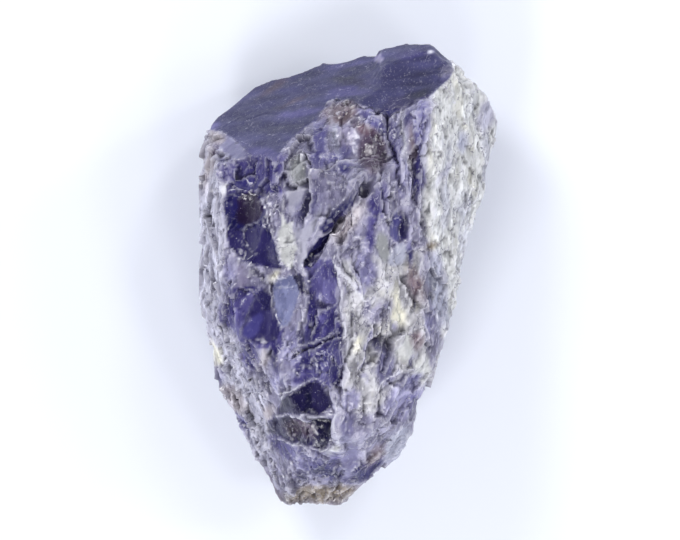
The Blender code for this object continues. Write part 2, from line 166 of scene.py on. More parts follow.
# Oval patches, seen from above: tint, place, half length, half width, heading, how glassy
PATCHES = {
    "corner_lip": ("haze", -7.7, 8.4, 1.2, 0.5, 138, 0.9),
    "corner_stain": ("frost", -8.8, 9.1, 0.6, 0.35, 150, 0.5),
    "corner_deep": ("violet", -6.2, 6.5, 2.0, 1.0, 170, 0.5),
    "corner_blue": ("azure", -6.5, 6.0, 1.2, 0.35, 175, 0.6),
    "brown_window": ("umber", -6.6, 4.3, 1.0, 0.95, 80, 0.9),
    "window_side": ("dusk", -7.8, 4.2, 1.1, 0.45, 95, 0.8),
    "lilac_spot": ("lilac", -7.0, -0.1, 0.7, 0.5, 80, 0.8),
    "small_dark": ("violet", -7.2, -1.3, 0.4, 0.3, 60, 0.7),
    "window_edge": ("violet", -7.7, -2.3, 0.8, 0.6, 45, 0.4),
    "window_glow": ("azure", -6.3, -3.3, 0.9, 0.5, 60, 0.9),
    "facet_cap": ("cream", -4.9, -0.1, 0.4, 0.22, 45, 0.5),
    "panel_specks": ("haze", -2.7, 4.4, 1.3, 0.6, 60, 0.2),
    "zone_grain": ("violet", -2.0, -2.7, 1.3, 0.6, 85, 0.1),
    "swirl": ("iris", -1.9, -5.8, 1.0, 0.6, 60, 0.0),
    "dull_patch": ("haze", -3.6, -4.7, 1.2, 0.8, 80, 0.0),
    "lavender_low": ("lavender", -4.1, -6.9, 1.2, 0.6, 5, 0.2),
    "scallops": ("violet", -3.0, -6.9, 0.6, 0.3, 15, 0.6),
    "left_low_dark": ("violet", -6.6, -5.5, 1.0, 0.45, 100, 0.3),
    "yellow_sliver": ("frost", -5.6, -5.5, 0.6, 0.2, 90, 0.5),
    "dark_sliver": ("deep", -4.8, -5.5, 0.9, 0.25, 95, 0.8),
    "pane_middle": ("stain", -3.2, -10.1, 1.2, 0.6, 175, 0.1),
    "pane_right": ("ink", -1.6, -10.2, 0.8, 0.35, 95, 0.8),
    "grey_wedge": ("frost", -5.3, -9.1, 0.5, 0.35, 60, 0.7),
    "foot_shards": ("violet", -4.0, -11.7, 1.3, 0.5, 150, 0.5),
    "foot_middle": ("haze", -2.4, -12.4, 1.6, 0.8, 170, 0.1),
    "foot_dark": ("dusk", -1.6, -13.0, 1.2, 0.4, 165, 0.4),
    "foot_violet": ("haze", 0.0, -12.3, 1.2, 0.6, 75, 0.7),
    "base": ("ochre", -1.9, -14.8, 2.6, 0.7, 8, 0.1),
    "foot_corner": ("dusk", 1.3, -12.9, 1.0, 0.5, 30, 0.6),
    "foot_shade_a": ("ink", -3.1, -13.4, 0.5, 0.2, 150, 0.5),
    "foot_shade_b": ("violet", -0.9, -11.9, 0.8, 0.25, 60, 0.5),
    "foot_shade_c": ("ink", 0.3, -13.6, 0.7, 0.2, 10, 0.5),
    "foot_pale": ("ivory", -0.9, -11.5, 0.5, 0.25, 30, 0.2),
    "foot_edge": ("brown", 1.8, -12.0, 0.9, 0.3, 50, 0.3),
    "bright_one": ("cream", 0.7, -4.5, 0.6, 0.35, 60, 0.4),
    "grey_window": ("haze", -0.1, -10.0, 1.0, 0.5, 85, 0.8),
    "lilac_window": ("lavender", 0.1, -8.3, 1.0, 0.5, 70, 0.6),
    "blue_specks": ("haze", 2.4, -5.9, 1.4, 0.55, 85, 0.1),
    "cream_patch": ("ivory", 3.7, -4.9, 0.95, 0.5, 75, 0.7),
    "cream_corner": ("ivory", 4.8, -6.3, 1.1, 0.5, 80, 0.6),
    "low_stain": ("brown", 4.5, -4.3, 0.5, 0.4, 100, 0.2),
    "low_blue": ("lavender", 3.5, -8.1, 1.7, 1.0, 60, 0.3),
    "low_blue_dark": ("iris", 4.2, -8.0, 0.5, 0.2, 20, 0.5),
    "low_blue_top": ("iris", 4.3, -6.9, 0.5, 0.2, 30, 0.5),
    "low_right": ("grey", 3.2, -11.2, 1.4, 0.7, 60, 0.4),
    "low_streak": ("ivory", 4.0, -11.0, 0.6, 0.15, 70, 0.6),
    "bright_two": ("cream", 3.2, -2.3, 1.3, 0.5, 115, 0.3),
    "right_stain": ("brown", 4.4, -0.6, 1.1, 0.45, 110, 0.1),
    "blue_streak": ("grey", 5.9, -1.0, 2.4, 0.6, 97, 0.3),
    "blue_streak_low": ("haze", 5.4, -3.1, 0.8, 0.35, 80, 0.5),
    "olive_arc": ("ochre", 5.4, 1.9, 0.45, 0.25, 30, 0.3),
    "grey_blue": ("haze", 1.1, 0.3, 1.1, 0.75, 110, 0.3),
    "sparkle_specked": ("veil", 2.1, -2.4, 0.9, 0.6, 60, 0.0),
    "pane_one": ("moss", 2.3, 1.8, 0.95, 0.4, 100, 0.9),
    "pane_two": ("grey", 3.2, 1.3, 0.85, 0.5, 60, 0.8),
    "slot": ("dusk", 4.0, 1.4, 0.5, 0.13, 92, 0.5),
    "oval_left": ("azure", 3.15, 3.1, 0.85, 0.4, 100, 0.9),
    "oval_right": ("ink", 3.65, 3.15, 0.85, 0.33, 95, 0.9),
    "patch_a": ("violet", 1.6, 4.6, 0.6, 0.35, 100, 0.5),
    "patch_b": ("violet", 1.8, 3.8, 0.9, 0.35, 60, 0.5),
    "patch_c": ("violet", 1.4, 2.3, 0.8, 0.3, 85, 0.5),
    "patch_d": ("violet", 2.2, 5.4, 0.6, 0.3, 95, 0.5),
    "pale_rough": ("frost", 0.0, 3.4, 1.7, 0.6, 55, 0.0),
    "column_a": ("haze", 3.2, 9.0, 1.6, 0.4, 95, 0.2),
    "column_dark": ("violet", 4.0, 10.3, 0.6, 0.22, 90, 0.6),
    "column_brown": ("brown", 4.2, 8.5, 1.1, 0.2, 92, 0.3),
    "column_blue": ("iris", 4.8, 9.7, 1.8, 0.45, 88, 0.4),
    "column_thin_a": ("violet", 3.0, 8.0, 1.6, 0.12, 97, 0.5),
    "column_thin_b": ("ivory", 3.6, 8.6, 1.5, 0.1, 94, 0.3),
    "column_thin_c": ("dusk", 4.5, 7.4, 1.3, 0.12, 90, 0.5),
    "column_thin_d": ("mist", 5.1, 8.3, 1.4, 0.12, 88, 0.3),
    "column_foot": ("violet", 4.6, 6.3, 0.7, 0.4, 80, 0.4),
    "column_low": ("lavender", 3.6, 6.3, 1.2, 0.5, 92, 0.1),
    "bay_top": ("brown", -0.6, 10.7, 1.3, 0.7, 20, 0.2),
    "bay_band": ("iris", 1.7, 10.1, 1.2, 0.45, 134, 0.1),
    "bay_red": ("russet", 1.1, 9.5, 0.8, 0.35, 140, 0.3),
    "bay_brown": ("stain", 1.6, 8.0, 1.3, 0.9, 90, 0.3),
    # Painted highlight: a soft lavender sheen in the bay
    "bay_lavender": ("lilac", -0.2, 9.1, 0.85, 0.7, 90, 0.6),
    "bay_violet": ("iris", -1.9, 8.9, 1.5, 0.45, 80, 0.5),
    "bay_violet_dark": ("iris", -2.2, 8.6, 1.2, 0.16, 88, 0.5),
    "bay_shade": ("iris", -0.9, 7.9, 1.1, 0.35, 20, 0.4),
    "bay_streak": ("grey", -0.9, 9.2, 1.2, 0.14, 100, 0.3),
    "bay_green": ("moss", -3.3, 6.9, 1.1, 0.6, 90, 0.3),
    "bay_dark": ("dusk", -0.4, 6.9, 0.5, 0.3, 20, 0.3),
    "strip_pink": ("frost", -9.3, 7.3, 1.6, 0.3, 85, 0.2),
    "strip_spots": ("umber", -8.9, 8.3, 0.3, 0.15, 80, 0.2),
    "strip_white": ("snow", -8.2, 5.7, 0.5, 0.2, 75, 0.9),
    "strip_violet": ("haze", -7.9, 0.0, 1.0, 0.3, 90, 0.3),
    "band_pale": ("cream", -8.8, -5.3, 0.9, 0.35, 110, 0.5),
    "band_violet": ("lavender", -8.6, -6.7, 0.6, 0.4, 100, 0.5),
    "band_stain": ("frost", -7.6, -8.3, 1.1, 0.6, 125, 0.3),
    "band_low": ("iris", -7.2, -9.9, 0.8, 0.35, 125, 0.4),
    "right_blue": ("grey", 7.5, 8.8, 0.6, 0.35, 80, 0.3),
    "right_streak": ("mist", 6.3, 6.7, 0.8, 0.2, 60, 0.2),
    "right_lilac": ("mist", 9.2, 10.6, 1.1, 0.6, 80, 0.5),
    "end_glint": ("snow", 5.4, 14.7, 0.25, 0.15, 20, 0.9),
    "end_spot": ("lilac", 2.0, 14.4, 0.3, 0.35, 90, 0.9),
    "end_stain": ("stain", -5.0, 12.6, 1.0, 0.25, 32, 0.5),
    "end_stain_low": ("stain", -3.6, 11.6, 0.9, 0.15, 20, 0.5),
    "end_bevel": ("iris", 0.3, 14.2, 1.4, 0.14, 10, 0.5),
    "end_blot_a": ("violet", -3.2, 10.8, 1.6, 0.3, 10, 0.6),
    "end_blot_b": ("violet", 4.0, 14.6, 1.0, 0.3, 5, 0.6),
    "end_blot_c": ("ink", 0.2, 12.9, 1.2, 0.3, 170, 0.6),
    "end_blot_d": ("violet", 0.0, 12.2, 1.4, 0.3, 0, 0.6),
    "end_fade": ("violet", -5.4, 7.9, 1.3, 0.5, 170, 0.6),
    "end_dim": ("ink", 3.9, 11.6, 1.6, 0.35, 20, 0.6),
    "end_chip": ("iris", -9.0, 9.9, 0.4, 0.25, 40, 0.3),
}

# Rims that rise, tinted pale with painted highlight, and cracks that sink, tinted dark with
# painted shade: strength, half width, how far each rises, then its points
LINES = {
    "end_crack": (0.6, 0.05, -0.03, (-6.8, 10.3), (-5.8, 10.7), (-4.7, 10.7)),
    "end_curve_a": (0.5, 0.07, -0.03, (1.9, 14.1), (4.2, 13.8), (6.4, 13.6)),
    "end_curve_b": (0.5, 0.07, -0.03, (2.3, 12.9), (4.1, 13.0), (5.6, 13.3), (6.7, 13.4)),
    "end_curve_c": (0.4, 0.06, -0.03, (3.2, 12.5), (5.2, 12.6), (6.2, 12.8)),
    "end_curve_d": (0.4, 0.06, -0.03, (0.8, 13.4), (0.9, 12.8), (1.6, 12.3)),
    "end_curve_e": (0.3, 0.05, 0.03, (2.2, 13.2), (4.0, 13.3), (5.6, 13.5)),
    "end_curve_f": (0.3, 0.05, 0.03, (-8.4, 9.8), (-7.8, 10.3), (-7.3, 10.5)),
    "end_curve_g": (0.3, 0.05, -0.03, (1.4, 13.5), (1.5, 12.9), (2.1, 12.5)),
    "bay_rim": (0.8, 0.12, -0.05, (-1.2, 11.8), (0.1, 11.6), (0.9, 11.2), (2.0, 10.8),
        (2.6, 10.3)),
    "bay_rim_right": (0.7, 0.08, -0.05, (2.6, 10.3), (3.1, 10.8), (3.9, 11.2), (4.4, 11.5)),
    "rim_left": (0.5, 0.07, -0.04, (-4.7, 7.3), (-4.2, 8.2), (-3.6, 9.0), (-2.8, 9.7)),
    "bay_crack": (0.9, 0.12, -0.25, (2.6, 10.4), (2.6, 9.2), (3.2, 7.2), (3.3, 6.0)),
    "window_top": (0.7, 0.08, 0.05, (-7.8, 5.5), (-5.9, 5.3)),
    "window_rim": (0.7, 0.07, 0.05, (-8.0, 4.1), (-7.8, 2.8), (-6.9, 1.9), (-6.0, 1.4)),
    "window_gleam": (0.6, 0.1, 0.02, (-6.6, 0.9), (-5.6, 1.6), (-4.9, 2.3)),
    "window_bank": (0.5, 0.1, 0.08, (-5.7, 5.0), (-5.3, 3.8), (-4.9, 2.6), (-4.6, 1.0)),
    "window_hair_a": (0.3, 0.06, 0.02, (-7.3, 3.3), (-6.6, 2.9), (-6.1, 3.0)),
    "window_hair_b": (0.3, 0.05, 0.02, (-6.4, 3.6), (-6.0, 2.6)),
    "window_hair_c": (0.3, 0.05, 0.02, (-5.9, 1.9), (-5.5, 2.4), (-5.2, 2.5)),
    "zone_hair_a": (0.3, 0.06, 0.02, (-2.1, -1.0), (-1.4, -2.4)),
    "zone_hair_b": (0.3, 0.06, 0.02, (-2.5, -3.4), (-1.2, -3.0)),
    "zone_hair_c": (0.3, 0.06, 0.02, (-2.6, -6.0), (-1.7, -5.3), (-1.2, -5.5)),
    "pane_hair_a": (0.3, 0.06, 0.02, (-3.7, -8.6), (-2.6, -8.2), (-1.6, -8.4)),
    "pane_hair_b": (0.3, 0.06, 0.02, (-4.6, -10.1), (-3.3, -9.9), (-2.2, -10.3)),
    "bronze": (0.3, 0.16, 0.08, (-5.9, -0.8), (-6.5, -1.3), (-7.1, -2.2)),
    "facet_left": (0.9, 0.08, 0.08, (-5.2, -0.6), (-5.1, -1.7), (-4.8, -2.7), (-4.4, -3.6)),
    "facet_top": (0.7, 0.07, 0.06, (-5.1, -0.3), (-4.4, -0.1), (-3.7, 0.2)),
    "facet_right": (0.5, 0.06, 0.05, (-3.3, -0.5), (-3.1, -1.3), (-3.4, -2.2), (-4.1, -3.3)),
    "zone_crack": (0.9, 0.1, -0.2, (-0.7, -4.0), (-2.2, -4.6), (-3.7, -5.3)),
    "zone_crack_rim": (0.5, 0.07, 0.05, (-0.8, -3.8), (-2.2, -4.35), (-3.6, -5.0)),
    "pane_divide": (0.9, 0.08, 0.12, (-4.7, -9.2), (-2.1, -9.2), (-1.0, -9.1)),
    "pane_brow": (0.8, 0.1, 0.12, (-4.7, -8.1), (-3.9, -7.7), (-3.0, -7.3), (-2.1, -6.8),
        (-1.5, -7.2)),
    "pane_sill": (0.7, 0.09, 0.12, (-4.7, -11.0), (-3.4, -11.1), (-2.1, -11.5), (-1.3, -11.3)),
    "pane_side": (0.7, 0.12, 0.1, (-0.9, -7.6), (-0.85, -9.0), (-0.9, -11.0)),
    "light_hair": (0.8, 0.06, 0.06, (-4.1, -7.8), (-4.8, -8.8)),
    "dark_hair": (0.8, 0.07, -0.1, (-5.9, -7.9), (-4.9, -8.8)),
    "strip_crack": (0.8, 0.1, -0.15, (-9.6, 0.5), (-9.0, -0.2), (-8.6, -1.1)),
    "strip_edge": (0.5, 0.07, 0.08, (-8.9, 8.6), (-8.5, 6.7), (-8.3, 5.0), (-8.1, 3.0),
        (-8.3, 0.5)),
    "white_rim": (0.9, 0.07, -0.1, (-8.4, 5.2), (-8.0, 5.3), (-8.0, 6.0), (-8.3, 6.4)),
    "v_crack": (0.8, 0.05, -0.08, (2.1, -1.2), (0.6, -2.9), (1.3, -3.7)),
    "v_gleam": (0.7, 0.06, 0.05, (2.0, -1.5), (2.9, -2.5)),
    "silver_fall": (0.8, 0.17, 0.12, (-0.9, 0.8), (-0.2, -0.2), (0.4, -1.1), (1.1, -1.8)),
    "fall_shade": (0.7, 0.08, -0.1, (-0.7, 1.0), (0.1, -0.1), (0.8, -1.0)),
    "pane_one_left": (0.7, 0.06, -0.06, (1.8, 2.4), (2.0, 1.3), (2.4, 0.7)),
    "pane_one_right": (0.7, 0.06, -0.06, (2.6, 2.4), (2.75, 1.5), (2.45, 0.8)),
    "pane_two_left": (0.6, 0.06, 0.06, (2.8, 2.4), (2.75, 1.0), (2.4, 0.4)),
    "oval_rim": (0.8, 0.08, 0.08, (2.6, 2.7), (3.0, 2.2), (3.5, 2.1), (4.0, 2.4)),
    "beside_oval": (0.6, 0.09, 0.08, (4.2, 4.6), (4.3, 3.6), (4.4, 2.6)),
    "right_crack": (0.8, 0.09, -0.12, (4.0, 5.3), (4.4, 4.7), (4.8, 4.1), (4.85, 3.2)),
    "right_nick": (0.7, 0.08, -0.1, (5.4, 8.1), (4.8, 7.5)),
    "arc": (0.6, 0.12, 0.12, (1.8, -7.5), (2.4, -6.9), (3.2, -6.5), (4.2, -6.2)),
    "arc_shade": (0.6, 0.08, -0.08, (2.0, -7.7), (2.6, -7.2), (3.3, -6.9)),
    "spine": (0.6, 0.14, 0.12, (-0.7, 0.6), (-0.4, -1.7), (-0.2, -4.7), (-0.3, -8.3),
        (-0.7, -11.0)),
    "spine_shade": (0.6, 0.1, -0.1, (-0.9, 0.2), (-0.65, -1.7), (-0.5, -4.7), (-0.6, -8.0)),
    "slit_dark": (0.6, 0.1, -0.14, (0.6, 5.3), (-0.2, 4.0), (-1.0, 2.9), (-1.9, 1.8),
        (-2.9, 0.8)),
    "slit_rim": (0.5, 0.07, 0.06, (0.3, 5.6), (-0.7, 4.6), (-1.4, 3.8), (-2.1, 2.9), (-2.6, 1.8)),
    "slit_rim_low": (0.6, 0.08, 0.08, (0.9, 5.2), (0.1, 4.0), (-0.7, 2.8), (-1.7, 1.6)),
    "column_dark_a": (0.8, 0.08, -0.08, (3.4, 10.6), (3.5, 9.0), (3.3, 7.4)),
    "column_dark_b": (0.8, 0.08, -0.08, (4.9, 11.0), (4.7, 9.4), (4.9, 7.8)),
    "column_dark_c": (0.8, 0.08, -0.08, (4.2, 8.2), (4.3, 6.6), (3.9, 5.4)),
    "column_line": (0.6, 0.06, 0.06, (3.7, 10.9), (3.75, 9.6), (3.7, 8.0)),
    "column_edge": (0.5, 0.07, 0.06, (5.3, 11.6), (5.2, 9.6), (5.2, 7.9)),
}

# How the skin is broken. For each kind of piece: its size across, along and in depth, how much
# it leans, how far it stands out or in, its seed, how much its tint varies, and which of its
# three random numbers its tint follows
BREAKS = {
    "large_shards": ((1.7, 3.2, 1.7), 0.22, 0.08, 11, 40, 0),
    "small_shards": ((0.6, 1.9, 0.6), 0.17, 0.035, 23, 56, 1),
    "grains": ((0.35, 0.6, 0.35), 0.12, 0.006, 37, 60, 2),
    "scales": ((0.55, 0.9, 0.55), 0.20, 0.022, 41, 30, 1),
    "fibres": ((0.25, 3.2, 0.5), 0.22, 0.025, 53, 70, 0),
}

# How a piece's three random numbers add up to how far it stands out
STAND_MIX = (0.6, 0.3, 0.1)

# The flat end: the size and rise of its waves, and the size and strength of its light and dark
END_WAVES = ((2.8, 0.7, 2.0), 0.035)
END_MOTTLES = ((2.4, 0.7, 1.5), 20)

# Mottles of the pale sides: the area, the noise's size and seed, whether it follows the grain,
# the level at which it sets in, and the tints of its highs and its lows. Then the level at which
# a mottle is full, and how strong it is there
MOTTLES = (
    ("right_face", (1.3, 2.2, 1.3), 61, False, 0.2, "cream", "grey"),
    ("right_middle", (0.5, 1.1, 0.5), 71, True, 0.4, "cream", "iris"),
)
MOTTLE_FULL, MOTTLE_SHARE = 0.9, 0.5

# The back's broad patches and its stains: the size and the seed of their noises
BACK_PATCHES = ((3.5, 5.0, 3.5), 301)
BACK_STAINS = ((3.0, 4.0, 3.0), 307)

# Between these heights the photographed front gives way to the back
FRONT_RISE = (4.5, 6.0)

# Areas whose borders are broad and soft, and how broad the borders of areas are
SOFT_AREAS = ("right_face", "right_middle", "left_strip", "lower_band", "foot")
SOFT_BORDER, CRISP_BORDER, END_BORDER = 0.3, 0.06, 0.05

# How the borders of painted areas wander, and how the grain sways: size and reach
WANDER = (0.9, 0.16)
SWAY = ((0.9, 1.3, 0.9), 0.22)

# How glassy the skin is where nothing says otherwise
PLAIN_GLASS = 0.25

# How far outside all lines a place counts as where none is near, in millimetres
NO_LINE = 1.0

# Edges and hollows are where the surface stands out from its own average over a few rounds of
# neighbours, or many: how many rounds, and the heights between which it shows
FINE_ROUNDS, BROAD_ROUNDS = 2, 14
FINE_HEIGHTS, BROAD_HEIGHTS = (0.008, 0.05), (0.03, 0.16)

# Edges sharper than this, in degrees, stay sharp
SHARP_ANGLE = 35


def facing(heading, rise):
    """The unit vector that looks along a heading and a rise."""
    turn, tilt = np.radians(heading), np.radians(rise)
    across = np.cos(tilt)
    return np.array([across * np.cos(turn), across * np.sin(turn), np.sin(tilt)])


def step(low, high, values):
    """0 at low and before it, 1 at high and past it, and smooth between them. Either of the two
    may be the greater."""
    part = np.clip((values - low) / (high - low), 0, 1)
    return part * part * (3 - 2 * part)


# Large whole numbers that mix up the bits of a cell's place and of its seed
PLACE_MIX = np.array([73856093, 19349663, 83492791], dtype=np.uint32)
SEED_MIX, FIRST_MIX, SECOND_MIX = 7919, 2246822519, 3266489917
LAST_BITS = 65535


def scatter(cells, seed):
    """Three even random numbers from 0 to 1 for each whole-numbered cell."""
    mixed = cells.astype(np.uint32) @ PLACE_MIX
    mixed = mixed + np.uint32(seed * SEED_MIX)
    numbers = []
    for _ in range(3):
        mixed = (mixed ^ (mixed >> np.uint32(15))) * np.uint32(FIRST_MIX)
        mixed = (mixed ^ (mixed >> np.uint32(13))) * np.uint32(SECOND_MIX)
        mixed = mixed ^ (mixed >> np.uint32(16))
        numbers.append((mixed & np.uint32(LAST_BITS)) / LAST_BITS)
    return np.stack(numbers, axis=-1)


def ripple(points, size, seed):
    """Smooth noise from -1 to 1, with lumps of about the given size along X, Y and Z."""
    scaled = points / np.asarray(size)
    cell = np.floor(scaled).astype(np.int64)
    part = scaled - cell
    fade = part * part * (3 - 2 * part)
    total = np.zeros(len(points))
    for corner in np.ndindex(2, 2, 2):
        weight = np.prod(np.where(corner, fade, 1 - fade), axis=1)
        total += weight * scatter(cell + corner, seed)[:, 0]
    return total * 2 - 1


def rough(points, size, seed, octaves=3):
    """Ripples at ever smaller sizes, added up."""
    total, share = np.zeros(len(points)), 1.0
    for octave in range(octaves):
        total += share * ripple(points, np.asarray(size) / 2**octave, seed + octave)
        share *= 0.5
    return total


def shards(points, size, seed):
    """The cell that each point is in: the way from its centre, and three random numbers that
    the whole cell shares."""
    scaled = points / np.asarray(size)
    cell = np.floor(scaled).astype(np.int64)
    nearest = np.full(len(points), np.inf)
    way, home = np.zeros_like(scaled), np.zeros_like(cell)
    for shift in np.ndindex(3, 3, 3):
        near = cell + np.array(shift) - 1
        apart = scaled - near - scatter(near, seed)
        far = np.sum(apart * apart, axis=1)
        closer = far < nearest
        nearest = np.where(closer, far, nearest)
        way[closer], home[closer] = apart[closer], near[closer]
    return way * size, scatter(home, seed + 1)


def broken(points, size, lean, stand, seed):
    """Flat-faced shards: how far each point moves out, and the shards' random numbers."""
    way, numbers = shards(points, size, seed)
    move = np.sum((numbers - 0.5) * 2 * lean * way, axis=1)
    move += (numbers[:, ::-1] @ np.array(STAND_MIX) - 0.5) * 2 * stand
    return move, numbers


def even_mesh(node):
    """A copy of the node's mesh in millimetres, with even small faces."""
    mesh = node.data.copy()
    mesh.transform(node.matrix_world)
    for vertex in mesh.vertices:
        vertex.co = vertex.co / MM
    blank = bpy.data.objects.new("blank", mesh)
    bpy.context.scene.collection.objects.link(blank)
    remesh = blank.modifiers.new("even", "REMESH")
    remesh.mode = "VOXEL"
    remesh.voxel_size = VOXEL
    seen = blank.evaluated_get(bpy.context.evaluated_depsgraph_get())
    even = bpy.data.meshes.new_from_object(seen)
    bpy.data.objects.remove(blank)
    return even


def read(mesh, what="co"):
    """The places or the normals of a mesh's points as an array."""
    values = np.empty(len(mesh.vertices) * 3, dtype=np.float32)
    if what == "co":
        mesh.vertices.foreach_get("co", values)
    else:
        mesh.vertex_normals.foreach_get("vector", values)
    return values.reshape(-1, 3).astype(float)


def neighbours(mesh):
    """Each point's neighbours, as pairs of points."""
    edges = np.empty(len(mesh.edges) * 2, dtype=np.int32)
    mesh.edges.foreach_get("vertices", edges)
    edges = edges.reshape(-1, 2)
    return np.concatenate([edges, edges[:, ::-1]])


def spread(values, pairs, times):
    """Values averaged with those of the neighbouring points, several times over."""
    count = np.bincount(pairs[:, 0], minlength=len(values)) + 1.0
    for _ in range(times):
        total = values.copy()
        for axis in range(values.shape[1]):
            total[:, axis] += np.bincount(pairs[:, 0], values[pairs[:, 1], axis], len(values))
        values = total / count[:, None]
    return values


def oval(x, y, row):
    """About how far inside an oval each point is, and less than 0 outside it."""
    centre_x, centre_y, half_length, half_width, heading = row
    turn = np.radians(heading)
    dx, dy = x - centre_x, y - centre_y
    along = (dx * np.cos(turn) + dy * np.sin(turn)) / half_length
    across = (dy * np.cos(turn) - dx * np.sin(turn)) / half_width
    return (1 - np.hypot(along, across)) * half_width


def to_line(x, y, start, end):
    """How far each point is from a straight line between two places."""
    way = np.subtract(end, start)
    dx, dy = x - start[0], y - start[1]
    share = np.clip((dx * way[0] + dy * way[1]) / (way @ way), 0, 1)
    return np.hypot(dx - share * way[0], dy - share * way[1])


def to_lines(x, y, places):
    """How far each point is from a bent line."""
    away = np.full(len(x), np.inf)
    for start, end in zip(places[:-1], places[1:]):
        away = np.minimum(away, to_line(x, y, start, end))
    return away


def inside(x, y, corners):
    """How far inside an area with corners each point is, and less than 0 outside it."""
    odd = np.zeros(len(x), dtype=bool)
    ring = corners + corners[:1]
    for (x1, y1), (x2, y2) in zip(ring[:-1], ring[1:]):
        if y1 != y2:
            crosses = (y1 > y) != (y2 > y)
            odd ^= crosses & (x < (x2 - x1) * (y - y1) / (y2 - y1) + x1)
    away = to_lines(x, y, ring)
    return np.where(odd, away, -away)


# The width of the stone along its length: how far left and right its outline reaches
OUTLINE_Y = (-15.4, -14.0, -11.0, -7.0, -3.5, 3.0, 10.0, 13.0, 15.4)
OUTLINE_LEFT = (-4.6, -5.6, -7.2, -9.2, -10.0, -10.0, -9.7, -6.0, 0.0)
OUTLINE_RIGHT = (-1.0, 1.8, 4.2, 5.4, 7.0, 8.3, 10.0, 9.0, 6.0)

# How closely the grain follows that width, from 0 to 1, half the stone's full width, and how
# much the grain is widened
FOLLOW, FULL_HALF, WIDEN = 0.4, 10, 0.9


def along_grain(points):
    """The points in a space where the stone's grain runs along Y and follows its outline."""
    x, y, z = points.T
    left = np.interp(y, OUTLINE_Y, OUTLINE_LEFT)
    right = np.interp(y, OUTLINE_Y, OUTLINE_RIGHT)
    middle, half = (left + right) / 2, (right - left) / 2
    bent = (x - middle) * (1 - FOLLOW + FOLLOW * FULL_HALF / half) * WIDEN
    return np.stack([bent, y, z], axis=-1)


